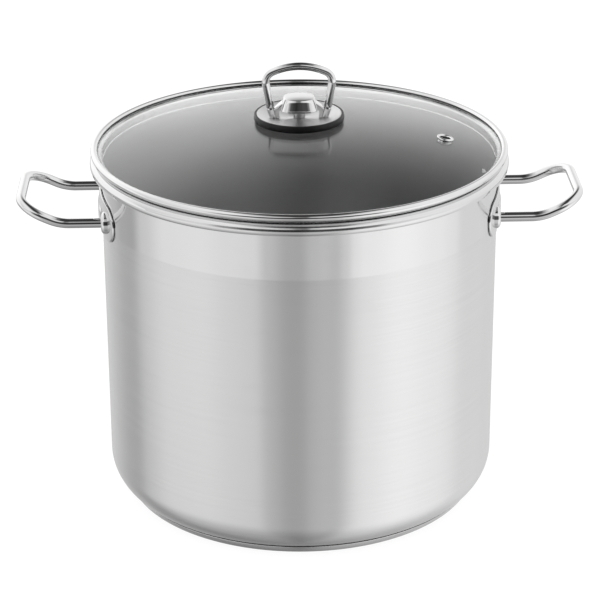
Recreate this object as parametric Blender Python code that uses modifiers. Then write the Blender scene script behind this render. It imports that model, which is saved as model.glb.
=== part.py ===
"""Stock pot with a glass lid, in metres, +Z up.

The underside of the base is at z = 0 and the pot's axis is the Z axis. The two side handles lie along X.
The lid rests on the rim, and the knob stands in the middle of the lid.
"""

import math

import bmesh
import bpy
from mathutils import Matrix, Vector

# Gap between pieces that touch, and facets of the turned pieces.
GAP = 0.0003
POT_STEPS, KNOB_STEPS, SMALL_STEPS, CUTTER_STEPS = 48, 32, 20, 96
LEFT, RIGHT = -1, 1

# Pot shell: a drawn sheet with a large bottom corner and an outward rim.
SHEET = 0.0008
WALL_RADIUS = 0.1408
CORNER_RADIUS, CORNER_CENTRE_Z = 0.0263, 0.0272
CORNER_END_ANGLE = math.radians(45)
FLOOR_FILLET = 0.005
RIM_TOP, RIM_RADIUS = 0.2534, 0.1483
FLARE_RADIUS, CURL_RADIUS = 0.0033, 0.0042
CURL_END_ANGLE = math.radians(-40)

# Base: an aluminium core inside a pressed cap.
CAP_SHEET = 0.0006
CAP_FLAT_RADIUS, CAP_CORNER_RADIUS = 0.1252, 0.0032
CAP_SLOPE = math.radians(55)
CAP_TOP = 0.0066
CORE_RADIUS, CORE_BEVEL = 0.1262, 0.0015

# Side handles: a bent rod whose grip rises away from the wall.
ROD_RADIUS = 0.0035
LEG_SPREAD, LEG_Z = 0.0380, 0.2155
LEG_START, KINK_X = 0.1390, 0.1692
GRIP_TILT, GRIP_REACH = math.radians(24.5), 0.0303
KINK_RADIUS, GRIP_CORNER = 0.034, 0.0190

# Handle plates and the collars round the rod ends.
PLATE_INNER, PLATE_OUTER, RIDGE_OUTER = 0.1411, 0.1425, 0.1437
LOBE_Y, LOBE_Z, LOBE_RADIUS = 0.0415, 0.2165, 0.0135
PLATE_TOP, PLATE_WAIST_Y, PLATE_WAIST_Z = 0.2345, 0.0200, 0.2080
LOBE_FROM, LOBE_TO = math.radians(84), math.radians(-125)
RIDGE_LENGTH, RIDGE_HEIGHT, RIDGE_Z = 0.0590, 0.0150, 0.2157
PRESS_DEPTH, CUTTER_LOW, CUTTER_HIGH = 0.012, 0.1665, 0.2665
COLLAR_RADIUS, COLLAR_DOME_RADIUS, COLLAR_TIP_RADIUS, COLLAR_BORE = 0.0080, 0.0072, 0.0052, 0.0038
COLLAR_BASE, COLLAR_SHOULDER, COLLAR_DOME, COLLAR_TIP = 0.1335, 0.1376, 0.1390, 0.1399

# Lid: a glass dome held in a rolled band.
GLASS, GLASS_CROWN, DOME_RADIUS = 0.0030, 0.2773, 0.524
GLASS_FLAT_END, GLASS_EDGE, SCREW_HOLE = 0.1425, 0.1440, 0.0042
EDGE_ROUND_X, EDGE_ROUND_Z = 0.0004, 0.0009
BAND_SHEET, BAND_OUTER = 0.0006, 0.1475
BEAD_RADIUS, BEAD_Z, BEAD_FROM, BEAD_TO = 0.0022, 0.2579, math.radians(164), math.radians(-75)
FLANGE_Z, BAND_FILLET = 0.2540, 0.0009
TUCK_PATH = ((0.1447, 0.2551), (0.1441, 0.2544), (0.1434, FLANGE_Z))
SKIRT_RADIUS, SKIRT_END, HEM_RADIUS = 0.1390, 0.2480, 0.0008
VENT_RADIUS_AT, VENT_ANGLE = 0.1033, math.radians(-10)
VENT_HOLE, VENT_SHEET = 0.0046, 0.0005
VENT_CUT_STEPS, VENT_CUT_DEPTH = 24, 0.03
VENT_PATH = (
    (0.0057, 0.0006), (0.0053, 0.0012), (0.0046, 0.0014), (0.0040, 0.0009), (0.0039, 0.0002),
    (0.0039, -0.0032), (0.0043, -0.0039), (0.0053, -0.0039),
)

# Knob: gasket, dished disc, cast bridge and rod loop, on one screw.
DISC, DISC_EDGE, DISC_EDGE_Z = 0.0008, 0.0300, 0.2813
DISC_FLAT, DISC_FLAT_Z = 0.0205, 0.2780
SEAT_LIP, SEAT_OUTER, SEAT_INNER = DISC_EDGE + GAP, 0.0319, 0.0265
SEAT_SECTION = (
    (SEAT_LIP, 0.2799), (SEAT_LIP, 0.2818), (SEAT_LIP + 0.0009, 0.2818), (SEAT_OUTER - 0.0002, 0.2805),
    (SEAT_OUTER, 0.2790), (SEAT_OUTER - 0.0005, 0.2767), (SEAT_INNER, 0.2771), (SEAT_INNER, 0.2790),
    (SEAT_INNER + 0.0005, 0.2794),
)
STEM_RADIUS, STEM_HOLE, STEM_HOLE_TOP = 0.0042, 0.0026, 0.2890
FOOT_X, FOOT_Z = 0.0168, DISC_FLAT_Z + DISC / 2 + GAP
BOSS_TOP, BOSS_TOP_WIDTH, BOSS_TOP_DEPTH = 0.2936, 0.0216, 0.0190
BOSS_SKIRT_Z, BOSS_SKIRT_WIDTH, BOSS_SKIRT_DEPTH = 0.2846, 0.0268, 0.0230
BOSS_NECK_RADIUS, BOSS_NECK_Z = 0.0058, 0.2834
BOSS_SQUARENESS = 2.8
ARM_ROOT_X, ARM_ROOT_WIDTH, ARM_END_X, ARM_END_WIDTH = 0.0080, 0.0100, 0.0180, 0.0052
ARM_SIDE = (
    (ARM_ROOT_X, 0.2929), (0.0158, 0.2871), (0.0178, 0.2850), (0.0172, 0.2835), (FOOT_X - 0.0010, FOOT_Z),
    (FOOT_X - 0.0030, FOOT_Z), (0.0140, 0.2838), (0.0128, 0.2852), (ARM_ROOT_X, 0.2858),
)
FOOT_STRAIGHT, BELOW_DISC = 0.0012, 0.003
LOOP_ROD, LOOP_TOP, LOOP_CROWN_RADIUS = 0.00275, 0.3160, 0.0450
LOOP_CORNER, LOOP_CORNER_X, LOOP_LEAN = 0.0080, 0.0153, math.radians(10)
LOOP_END_Z = 0.2861

# Fixing: soft washer, steel washer and a pan head screw, from the glass down.
SOFT_WASHER, SOFT_RADIUS = 0.0012, 0.0075
STEEL_WASHER, STEEL_RADIUS = 0.0010, 0.0065
SCREW_RADIUS, SCREW_TIP_RADIUS, SCREW_TOP = 0.0022, 0.0017, 0.2885
HEAD_RADIUS, HEAD_SIDE_RADIUS, HEAD_CROWN_RADIUS = 0.0042, 0.0040, 0.0028
HEAD_HEIGHT, HEAD_CROWN = 0.0023, 0.0003

# Colours (linear) with roughness and metallic.
STEEL = ((0.62, 0.61, 0.60, 1), 0.28, 1.0)
POLISHED = ((0.72, 0.71, 0.70, 1), 0.08, 1.0)
ALUMINIUM = ((0.80, 0.80, 0.81, 1), 0.35, 1.0)
BLACK = ((0.015, 0.015, 0.016, 1), 0.45, 0.0)
SILICONE = ((0.75, 0.75, 0.73, 1), 0.60, 0.0)
GLASS_LOOK = ((0.80, 0.84, 0.82, 1), 0.02, 0.0)


def clear_scene():
    for obj in list(bpy.data.objects):
        bpy.data.objects.remove(obj, do_unlink=True)


def new_collection(name):
    collection = bpy.data.collections.new(name)
    bpy.context.scene.collection.children.link(collection)
    return collection


def move_to(obj, collection):
    for other in list(obj.users_collection):
        other.objects.unlink(obj)
    collection.objects.link(obj)
    return obj


def as_cutter(obj):
    """Keeps a helper out of the model."""
    obj.hide_render = True
    obj.display_type = "WIRE"
    return move_to(obj, CUTTERS)


def finish_with(obj, look):
    colour, roughness, metallic = look
    material = bpy.data.materials.new(obj.name)
    material.use_nodes = True
    shader = material.node_tree.nodes["Principled BSDF"]
    shader.inputs["Base Color"].default_value = colour
    shader.inputs["Roughness"].default_value = roughness
    shader.inputs["Metallic"].default_value = metallic
    if look is GLASS_LOOK:
        shader.inputs["Transmission Weight"].default_value = 1.0
    obj.data.materials.clear()
    obj.data.materials.append(material)


def smooth(obj):
    """Smooth faces with sharp edges where they turn by more than 30 degrees."""
    obj.data.shade_smooth()
    obj.data.set_sharp_from_angle(angle=math.radians(30))


def boolean(obj, operation, other):
    modifier = obj.modifiers.new(operation.lower() + "_" + other.name, "BOOLEAN")
    modifier.operation = operation
    modifier.solver = "EXACT"
    modifier.object = other
    return modifier


def arc(centre, radius, start, end, segments):
    """Points of an arc in a plane, from angle start to angle end, both ends included."""
    return [
        (
            centre[0] + radius * math.cos(start + (end - start) * i / segments),
            centre[1] + radius * math.sin(start + (end - start) * i / segments),
        )
        for i in range(segments + 1)
    ]


def offset(path, distance):
    """The path moved to its left by a distance, with mitred corners."""
    points = [Vector(p) for p in path]
    ways = [(b - a).normalized() for a, b in zip(points, points[1:])]
    moved = []
    for i, point in enumerate(points):
        before, after = ways[max(i - 1, 0)], ways[min(i, len(ways) - 1)]
        normal = Vector((-(before.y + after.y), before.x + after.x)).normalized()
        moved.append(point + normal * distance / max(normal.dot((-after.y, after.x)), 0.3))
    return [(p.x, p.y) for p in moved]


def sheet_section(path, thickness):
    """The section of a sheet that follows a path."""
    return offset(path, thickness / 2) + offset(path, -thickness / 2)[::-1]


def signed_area(profile):
    return sum(a[0] * b[1] - b[0] * a[1] for a, b in zip(profile, profile[1:] + profile[:1])) / 2


def turned(name, profile, steps):
    """A profile of (radius, height) turned round Z. It is closed unless both its ends are on the axis."""
    if signed_area(profile) > 0:
        profile = profile[::-1]
    edges = [(i, i + 1) for i in range(len(profile) - 1)]
    if profile[0][0] > 0 or profile[-1][0] > 0:
        edges.append((len(profile) - 1, 0))
    mesh = bpy.data.meshes.new(name)
    mesh.from_pydata([(radius, 0, height) for radius, height in profile], edges, [])
    obj = bpy.data.objects.new(name, mesh)
    POT.objects.link(obj)
    screw = obj.modifiers.new("turn", "SCREW")
    screw.axis = "Z"
    screw.angle = 2 * math.pi
    screw.steps = screw.render_steps = steps
    screw.use_merge_vertices = True
    screw.merge_threshold = 0.00005
    screw.use_smooth_shade = True
    return obj


def lofted(name, rings, steps):
    """Rounded oblongs of (half width, half depth, height), joined from the top down, with closed ends."""
    bm = bmesh.new()
    made = []
    for width, depth, height in rings:
        ring = []
        for i in range(steps):
            across, along = math.cos(2 * math.pi * i / steps), math.sin(2 * math.pi * i / steps)
            x = math.copysign(width * abs(across) ** (2 / BOSS_SQUARENESS), across)
            y = math.copysign(depth * abs(along) ** (2 / BOSS_SQUARENESS), along)
            ring.append(bm.verts.new((x, y, height)))
        made.append(ring)
    bm.faces.new(made[0])
    bm.faces.new(made[-1])
    for upper, lower in zip(made, made[1:]):
        for i in range(steps):
            j = (i + 1) % steps
            bm.faces.new((upper[i], upper[j], lower[j], lower[i]))
    bmesh.ops.recalc_face_normals(bm, faces=bm.faces)
    mesh = bpy.data.meshes.new(name)
    bm.to_mesh(mesh)
    bm.free()
    obj = bpy.data.objects.new(name, mesh)
    POT.objects.link(obj)
    return obj


def to_mesh(obj):
    """Replaces a curve by its evaluated mesh, with the caps welded to the sides."""
    graph = bpy.context.evaluated_depsgraph_get()
    mesh = bpy.data.meshes.new_from_object(obj.evaluated_get(graph))
    name, place = obj.name, obj.matrix_world.copy()
    curve = obj.data
    bpy.data.objects.remove(obj)
    bpy.data.curves.remove(curve)
    solid = bpy.data.objects.new(name, mesh)
    solid.matrix_world = place
    POT.objects.link(solid)
    weld = solid.modifiers.new("weld", "WELD")
    weld.merge_threshold = 0.00001
    return solid


def outline_solid(name, outline, half_thickness, place):
    """A closed flat outline with thickness both ways, as a mesh placed by a matrix."""
    curve = bpy.data.curves.new(name, "CURVE")
    curve.dimensions = "2D"
    curve.fill_mode = "BOTH"
    curve.extrude = half_thickness
    spline = curve.splines.new("POLY")
    spline.points.add(len(outline) - 1)
    spline.use_cyclic_u = True
    for point, (x, y) in zip(spline.points, outline):
        point.co = (x, y, 0, 1)
    obj = bpy.data.objects.new(name, curve)
    obj.matrix_world = place
    POT.objects.link(obj)
    bpy.context.view_layer.update()
    return to_mesh(obj)


def rod(name, path, radius):
    """A round rod along a path of points, with flat ends."""
    curve = bpy.data.curves.new(name, "CURVE")
    curve.dimensions = "3D"
    curve.bevel_depth = radius
    curve.bevel_resolution = 3
    curve.use_fill_caps = True
    spline = curve.splines.new("POLY")
    spline.points.add(len(path) - 1)
    for point, place in zip(spline.points, path):
        point.co = (*place, 1)
    obj = bpy.data.objects.new(name, curve)
    POT.objects.link(obj)
    bpy.context.view_layer.update()
    return to_mesh(obj)


def filleted(corners, radii, segments):
    """A polyline whose inner corners are rounded by arcs of the given radii."""
    points = [Vector(corners[0])]
    for before, corner, after, radius in zip(corners, corners[1:], corners[2:], radii):
        corner = Vector(corner)
        back, ahead = (Vector(before) - corner).normalized(), (Vector(after) - corner).normalized()
        turn = math.pi - back.angle(ahead)
        start = corner + back * radius * math.tan(turn / 2)
        axis = back.cross(ahead)
        centre = corner + (back + ahead).normalized() * radius / math.cos(turn / 2)
        for i in range(segments + 1):
            spin = Matrix.Rotation(-turn * i / segments, 3, axis)
            points.append(centre + spin @ (start - centre))
    return points + [Vector(corners[-1])]


def dome_z(radius):
    """Height of the glass's upper face at a distance from the axis."""
    return GLASS_CROWN - DOME_RADIUS + math.sqrt(DOME_RADIUS**2 - radius**2)


def pot_shell():
    """The drawn pan: floor, fillet, large corner, straight wall, flare and outward curl."""
    half = SHEET / 2
    corner_centre = (WALL_RADIUS - CORNER_RADIUS, CORNER_CENTRE_Z)
    corner_from = CORNER_END_ANGLE - math.pi / 2
    corner = arc(corner_centre, CORNER_RADIUS - half, corner_from, 0, 5)
    way_in = Vector((math.cos(corner_from), math.sin(corner_from)))
    fillet_radius = FLOOR_FILLET - half
    fillet_centre = Vector(corner[0]) - way_in * fillet_radius
    fillet = arc(fillet_centre, fillet_radius, -math.pi / 2, corner_from, 2)
    rim_z = RIM_TOP - half
    flare_x = WALL_RADIUS - half + FLARE_RADIUS
    flare = arc((flare_x, rim_z - FLARE_RADIUS), FLARE_RADIUS, math.pi, math.pi / 2, 3)
    curl_x = RIM_RADIUS - half - CURL_RADIUS
    curl = arc((curl_x, rim_z - CURL_RADIUS), CURL_RADIUS, math.pi / 2, CURL_END_ANGLE, 6)
    path = [(0, fillet[0][1])] + fillet[:-1] + corner + flare[:-1] + curl
    shell = turned("pot_shell", sheet_section(path, SHEET), POT_STEPS)
    finish_with(shell, STEEL)
    return fillet[0][1] - half


def base(floor_underside):
    """The pressed cap under the pan and the aluminium core that it encloses."""
    half = CAP_SHEET / 2
    bend = arc((CAP_FLAT_RADIUS, CAP_CORNER_RADIUS + half), CAP_CORNER_RADIUS, -math.pi / 2,
               CAP_SLOPE - math.pi / 2, 3)
    rise = CAP_TOP - bend[-1][1]
    edge = (bend[-1][0] + rise / math.tan(CAP_SLOPE), CAP_TOP)
    cap = turned("base_cap", sheet_section([(0, half)] + bend + [edge], CAP_SHEET), POT_STEPS)
    finish_with(cap, STEEL)
    low, high = CAP_SHEET + GAP, floor_underside - GAP
    core = turned(
        "base_core",
        [(0, high), (CORE_RADIUS, high), (CORE_RADIUS, low + CORE_BEVEL), (CORE_RADIUS - CORE_BEVEL, low),
         (0, low)],
        POT_STEPS,
    )
    finish_with(core, ALUMINIUM)


def side_handle(name, side):
    """A rod loop: two level legs, a kink, and a raised grip."""
    grip_x = KINK_X + GRIP_REACH * math.cos(GRIP_TILT)
    grip_z = LEG_Z + GRIP_REACH * math.sin(GRIP_TILT)
    half = [(LEG_START, LEG_Z), (KINK_X, LEG_Z), (grip_x, grip_z)]
    corners = [(side * x, -LEG_SPREAD, z) for x, z in half]
    corners += [(side * x, LEG_SPREAD, z) for x, z in reversed(half)]
    path = filleted(corners, (KINK_RADIUS, GRIP_CORNER, GRIP_CORNER, KINK_RADIUS), 7)
    handle = rod(name, path, ROD_RADIUS)
    smooth(handle)
    finish_with(handle, POLISHED)


def wall_band(name, outer):
    """A helper: a ring of the pot's curve, from the plate's inner face to an outer radius."""
    low, high = CUTTER_LOW, CUTTER_HIGH
    section = [(PLATE_INNER, low), (outer, low), (outer, high), (PLATE_INNER, high)]
    return as_cutter(turned(name, section, CUTTER_STEPS))


def handle_plate(name, side):
    """A pressed plate with a lobe behind each leg and a raised ridge between them."""
    across = Matrix(((0, 0, 1, side * WALL_RADIUS), (1, 0, 0, 0), (0, 1, 0, 0), (0, 0, 0, 1)))
    lobe = arc((LOBE_Y, LOBE_Z), LOBE_RADIUS, LOBE_FROM, LOBE_TO, 14)
    half = [(0, PLATE_TOP)] + lobe + [(PLATE_WAIST_Y, PLATE_WAIST_Z)]
    outline = half + [(-y, z) for y, z in reversed(half[1:])]
    plate = outline_solid(name, outline, PRESS_DEPTH, across)
    end = RIDGE_HEIGHT / 2
    middle = RIDGE_LENGTH / 2 - end
    ridge_outline = arc((middle, RIDGE_Z), end, math.pi / 2, -math.pi / 2, 8)
    ridge_outline += arc((-middle, RIDGE_Z), end, -math.pi / 2, -1.5 * math.pi, 8)
    ridge = outline_solid(name + "_ridge", ridge_outline, PRESS_DEPTH, across)
    boolean(ridge, "INTERSECT", wall_band(name + "_ridge_band", RIDGE_OUTER))
    as_cutter(ridge)
    boolean(plate, "INTERSECT", wall_band(name + "_band", PLATE_OUTER))
    boolean(plate, "UNION", ridge)
    finish_with(plate, STEEL)


def leg_collar(name, side, end):
    """The raised seat round one rod end, cut to the plate's curve."""
    section = [
        (COLLAR_BORE, COLLAR_BASE), (COLLAR_RADIUS, COLLAR_BASE), (COLLAR_RADIUS, COLLAR_SHOULDER),
        (COLLAR_DOME_RADIUS, COLLAR_DOME), (COLLAR_TIP_RADIUS, COLLAR_TIP), (COLLAR_BORE, COLLAR_TIP),
    ]
    collar = turned(name, section, SMALL_STEPS)
    collar.location = (0, end * LEG_SPREAD, LEG_Z)
    collar.rotation_euler = (0, side * math.pi / 2, 0)
    boolean(collar, "DIFFERENCE", PLATE_CURVE)
    finish_with(collar, POLISHED)


def lid_glass():
    """The dome, with a rounded edge, the knob screw's hole and the vent's hole."""
    upper = [SCREW_HOLE + (GLASS_FLAT_END - SCREW_HOLE) * i / 6 for i in range(7)]
    top = [(radius, dome_z(radius)) for radius in upper]
    middle = dome_z(GLASS_FLAT_END) - GLASS / 2
    shoulder = GLASS_EDGE - EDGE_ROUND_X
    edge = [(shoulder, middle + EDGE_ROUND_Z), (GLASS_EDGE, middle), (shoulder, middle - EDGE_ROUND_Z)]
    bottom = [(radius, height - GLASS) for radius, height in reversed(top)]
    glass = turned("lid_glass", top + edge + bottom, POT_STEPS)
    bpy.ops.mesh.primitive_cylinder_add(vertices=VENT_CUT_STEPS, radius=VENT_HOLE, depth=VENT_CUT_DEPTH)
    hole = as_cutter(bpy.context.object)
    hole.name = "vent_cutter"
    hole.matrix_world = VENT_PLACE
    boolean(glass, "DIFFERENCE", hole)
    finish_with(glass, GLASS_LOOK)


def lid_band():
    """The rolled band: a bead over the glass edge, tucked in under it, a flange and a hemmed skirt."""
    outer = BAND_OUTER - BAND_SHEET / 2
    bead = arc((outer - BEAD_RADIUS, BEAD_Z), BEAD_RADIUS, BEAD_FROM, BEAD_TO, 9)
    turn = arc((SKIRT_RADIUS + BAND_FILLET, FLANGE_Z - BAND_FILLET), BAND_FILLET, math.pi / 2, math.pi, 2)
    hem = arc((SKIRT_RADIUS - HEM_RADIUS, SKIRT_END + HEM_RADIUS), HEM_RADIUS, 0, -math.pi / 2, 2)
    path = bead + list(TUCK_PATH) + turn + hem
    band = turned("lid_band", sheet_section(path, BAND_SHEET), POT_STEPS)
    finish_with(band, POLISHED)


def vent_eyelet():
    """A rolled tube set in the glass, square to the dome."""
    eyelet = turned("vent_eyelet", sheet_section(VENT_PATH, VENT_SHEET), SMALL_STEPS)
    eyelet.matrix_world = VENT_PLACE
    finish_with(eyelet, POLISHED)


def knob_gasket():
    """The black ring that carries the disc."""
    finish_with(turned("knob_gasket", list(SEAT_SECTION), KNOB_STEPS), BLACK)


def knob_disc():
    """A dished disc with a flat middle."""
    rise = DISC_EDGE_Z - DISC_FLAT_Z
    path = [(STEM_HOLE, DISC_FLAT_Z)]
    for i in range(6):
        t = i / 5
        path.append((DISC_FLAT + (DISC_EDGE - DISC_FLAT) * t, DISC_FLAT_Z + rise * t * t * (3 - 2 * t)))
    finish_with(turned("knob_disc", sheet_section(path, DISC), KNOB_STEPS), POLISHED)


def knob_bridge():
    """One casting: an oblong boss over the screw and two tapered arms that end in feet under the loop."""
    rings = [
        (BOSS_TOP_WIDTH / 2, BOSS_TOP_DEPTH / 2, BOSS_TOP),
        (BOSS_SKIRT_WIDTH / 2, BOSS_SKIRT_DEPTH / 2, BOSS_SKIRT_Z),
        (BOSS_NECK_RADIUS, BOSS_NECK_RADIUS, BOSS_NECK_Z),
        (STEM_RADIUS, STEM_RADIUS, BOSS_NECK_Z - GAP),
        (STEM_RADIUS, STEM_RADIUS, FOOT_Z - BELOW_DISC),
    ]
    bridge = lofted("knob_bridge", rings, KNOB_STEPS)
    root, end = ARM_ROOT_WIDTH / 2, ARM_END_WIDTH / 2
    plan = [(ARM_ROOT_X, -root), (ARM_END_X, -end), (ARM_END_X, end), (ARM_ROOT_X, root)]
    seam_x = loop_leg_x(LOOP_END_Z)
    for side, word in ((LEFT, "left"), (RIGHT, "right")):
        upright = Matrix(((side, 0, 0, 0), (0, 0, side, 0), (0, 1, 0, 0), (0, 0, 0, 1)))
        flat = Matrix(((side, 0, 0, 0), (0, side, 0, 0), (0, 0, 1, BOSS_SKIRT_Z), (0, 0, 0, 1)))
        web = as_cutter(outline_solid("arm_web_" + word, ARM_SIDE, ARM_ROOT_WIDTH, upright))
        taper = as_cutter(outline_solid("arm_taper_" + word, plan, BOSS_TOP_WIDTH, flat))
        boolean(web, "INTERSECT", taper)
        boolean(bridge, "UNION", web)
        lean = Vector((side * math.sin(LOOP_LEAN), 0, math.cos(LOOP_LEAN)))
        top = Vector((side * seam_x, 0, LOOP_END_Z)) - lean * GAP
        foot_path = [top, top - lean * FOOT_STRAIGHT, Vector((side * FOOT_X, 0, FOOT_Z - BELOW_DISC))]
        foot = as_cutter(rod("arm_foot_" + word, foot_path, LOOP_ROD))
        boolean(bridge, "UNION", foot)
    side_length = 4 * FOOT_X
    bpy.ops.mesh.primitive_cube_add(size=side_length, location=(0, 0, FOOT_Z - side_length / 2))
    below = as_cutter(bpy.context.object)
    below.name = "bridge_base_cutter"
    boolean(bridge, "DIFFERENCE", below)
    bore = [
        (0, STEM_HOLE_TOP), (STEM_HOLE, STEM_HOLE_TOP), (STEM_HOLE, FOOT_Z - BELOW_DISC),
        (0, FOOT_Z - BELOW_DISC),
    ]
    boolean(bridge, "DIFFERENCE", as_cutter(turned("bridge_bore_cutter", bore, KNOB_STEPS)))
    finish_with(bridge, POLISHED)


def loop_corner_z():
    """Height of the centre of the loop's corner arcs, where they meet the crown arc smoothly."""
    reach = math.sqrt((LOOP_CROWN_RADIUS - LOOP_CORNER) ** 2 - LOOP_CORNER_X**2)
    return LOOP_TOP - LOOP_CROWN_RADIUS + reach


def loop_leg_x(height):
    """Distance from the axis of a leg's centre line at a height."""
    drop = loop_corner_z() - LOOP_CORNER * math.sin(LOOP_LEAN) - height
    return LOOP_CORNER_X + LOOP_CORNER * math.cos(LOOP_LEAN) - drop * math.tan(LOOP_LEAN)


def knob_loop():
    """The bent rod that the hand takes: leaning legs, tight corners and a low crown."""
    crown_centre = (0, LOOP_TOP - LOOP_CROWN_RADIUS)
    corner_centre = (LOOP_CORNER_X, loop_corner_z())
    meet = math.atan2(corner_centre[1] - crown_centre[1], LOOP_CORNER_X)
    half = [(loop_leg_x(LOOP_END_Z), LOOP_END_Z)]
    half += arc(corner_centre, LOOP_CORNER, -LOOP_LEAN, meet, 7)
    half += arc(crown_centre, LOOP_CROWN_RADIUS, meet, math.pi / 2, 4)[1:]
    path = [(x, 0, z) for x, z in half] + [(-x, 0, z) for x, z in reversed(half[:-1])]
    loop = rod("knob_loop", path, LOOP_ROD)
    smooth(loop)
    finish_with(loop, POLISHED)


def washer(name, radius, low, high):
    section = [(STEM_HOLE, high), (radius, high), (radius, low), (STEM_HOLE, low)]
    return turned(name, section, SMALL_STEPS)


def knob_fixing():
    """The screw from under the glass, its steel washer and the soft washer against the glass."""
    soft_top = GLASS_CROWN - GLASS - GAP
    soft_low = soft_top - SOFT_WASHER
    steel_top = soft_low - GAP
    steel_low = steel_top - STEEL_WASHER
    finish_with(washer("silicone_washer", SOFT_RADIUS, soft_low, soft_top), SILICONE)
    finish_with(washer("steel_washer", STEEL_RADIUS, steel_low, steel_top), STEEL)
    head_top = steel_low - GAP
    head_low = head_top - HEAD_HEIGHT
    chamfer = SCREW_RADIUS - SCREW_TIP_RADIUS
    screw = [
        (0, SCREW_TOP), (SCREW_TIP_RADIUS, SCREW_TOP), (SCREW_RADIUS, SCREW_TOP - chamfer),
        (SCREW_RADIUS, head_top), (HEAD_RADIUS, head_top), (HEAD_SIDE_RADIUS, head_top - HEAD_HEIGHT / 2),
        (HEAD_CROWN_RADIUS, head_low + HEAD_CROWN), (0, head_low),
    ]
    finish_with(turned("knob_screw", screw, SMALL_STEPS), STEEL)


clear_scene()
POT = new_collection("stock_pot")
CUTTERS = new_collection("cutters")
PLATE_CURVE = as_cutter(
    turned(
        "plate_curve",
        [
            (0, CUTTER_HIGH), (PLATE_OUTER + GAP, CUTTER_HIGH), (PLATE_OUTER + GAP, CUTTER_LOW),
            (0, CUTTER_LOW),
        ],
        CUTTER_STEPS,
    )
)
VENT_PLACE = (
    Matrix.Rotation(VENT_ANGLE, 4, "Z")
    @ Matrix.Translation((VENT_RADIUS_AT, 0, dome_z(VENT_RADIUS_AT)))
    @ Matrix.Rotation(math.asin(VENT_RADIUS_AT / DOME_RADIUS), 4, "Y")
)
base(pot_shell())
for hand, sign in (("left", LEFT), ("right", RIGHT)):
    side_handle("handle_" + hand, sign)
    handle_plate("handle_plate_" + hand, sign)
    for place, end in (("front", -1), ("rear", 1)):
        leg_collar("leg_collar_" + hand + "_" + place, sign, end)
lid_glass()
lid_band()
vent_eyelet()
knob_gasket()
knob_disc()
knob_bridge()
knob_loop()
knob_fixing()
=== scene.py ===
"""Looks of the stock pot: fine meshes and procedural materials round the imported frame."""

import math

import bmesh
import bpy
from mathutils import Matrix, Vector


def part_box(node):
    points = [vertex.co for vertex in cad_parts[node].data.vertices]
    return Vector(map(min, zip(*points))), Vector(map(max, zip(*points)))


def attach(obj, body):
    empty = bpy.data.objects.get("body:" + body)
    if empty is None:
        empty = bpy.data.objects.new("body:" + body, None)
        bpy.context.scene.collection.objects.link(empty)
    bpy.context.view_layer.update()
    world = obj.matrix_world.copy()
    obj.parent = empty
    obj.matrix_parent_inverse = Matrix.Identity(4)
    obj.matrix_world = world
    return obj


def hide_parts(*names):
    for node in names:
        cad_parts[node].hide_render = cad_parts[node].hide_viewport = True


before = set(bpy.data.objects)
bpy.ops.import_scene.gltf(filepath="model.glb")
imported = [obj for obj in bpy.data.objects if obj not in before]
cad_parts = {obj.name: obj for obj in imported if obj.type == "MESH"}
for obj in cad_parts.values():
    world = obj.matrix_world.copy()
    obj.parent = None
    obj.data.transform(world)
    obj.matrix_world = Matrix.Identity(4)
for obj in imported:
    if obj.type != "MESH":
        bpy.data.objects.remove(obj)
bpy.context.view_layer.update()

LEFT, RIGHT = -1, 1
FINE, MEDIUM, COARSE = 256, 128, 64  # steps round the turned pieces

# Levels and reaches that the frame gives.
_, SHELL_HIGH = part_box("pot_shell")
_, BAND_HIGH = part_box("lid_band")
DISC_LOW, DISC_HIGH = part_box("knob_disc")
_, HANDLE_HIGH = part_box("handle_right")
_, PLATE_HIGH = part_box("handle_plate_right")
_, LOOP_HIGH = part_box("knob_loop")

# Pot shell.
SHEET, WALL_RADIUS = 0.0008, 0.1408
CORNER_RADIUS, CORNER_CENTRE_Z, CORNER_END_ANGLE = 0.0263, 0.0272, math.radians(45)
FLOOR_FILLET, FLARE_RADIUS, CURL_RADIUS = 0.005, 0.0033, 0.0042
CURL_END_ANGLE = math.radians(-40)
FLOOR_RINGS, SHELL_FLOOR_END, CAP_FLOOR_END = (0, 0.03, 0.06, 0.09), 0.115, 0.11
WALL_RINGS = 24
RIM_RADIUS, RIM_TOP = SHELL_HIGH.x, SHELL_HIGH.z
COLLAR_EDGE_Z = 0.2120  # the mirror-polished collar starts here

# Base cap.
CAP_SHEET, CAP_FLAT_RADIUS, CAP_CORNER_RADIUS = 0.0006, 0.1252, 0.0032
CAP_SLOPE, CAP_TOP = math.radians(55), 0.0066

# Side handles.
ROD_RADIUS, LEG_SPREAD, LEG_Z, LEG_START_X = 0.0035, 0.0380, 0.2155, 0.1375
KINK_X, GRIP_TILT, GRIP_REACH = 0.1692, math.radians(24.5), 0.0303
KINK_RADIUS, GRIP_CORNER = 0.034, 0.0190
PLATE_BACK, PLATE_FACE, RIDGE_FACE = 0.1411, 0.1425, 0.1437
LOBE_Y, LOBE_Z, LOBE_RADIUS = 0.0415, 0.2165, 0.0135
PLATE_TOP, PLATE_WAIST_Y, PLATE_WAIST_Z = PLATE_HIGH.z, 0.0200, 0.2080
LOBE_FROM, LOBE_TO, PLATE_EDGE_ROUND = math.radians(84), math.radians(-125), 0.0012
PLATE_RINGS, PLATE_STEPS = 36, 192
RIDGE_HALF, RIDGE_HEIGHT, RIDGE_Z, RIDGE_SLOPE = 0.0295, 0.0150, 0.2157, 0.0035
SEAT_FOOT, SEAT_SHOULDER, SEAT_CREST, SEAT_STEPS = 0.1345, 0.1372, 0.0048, 16
ROD_BITE = 0.0002  # how far a leg seat's bore reaches into its rod

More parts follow.
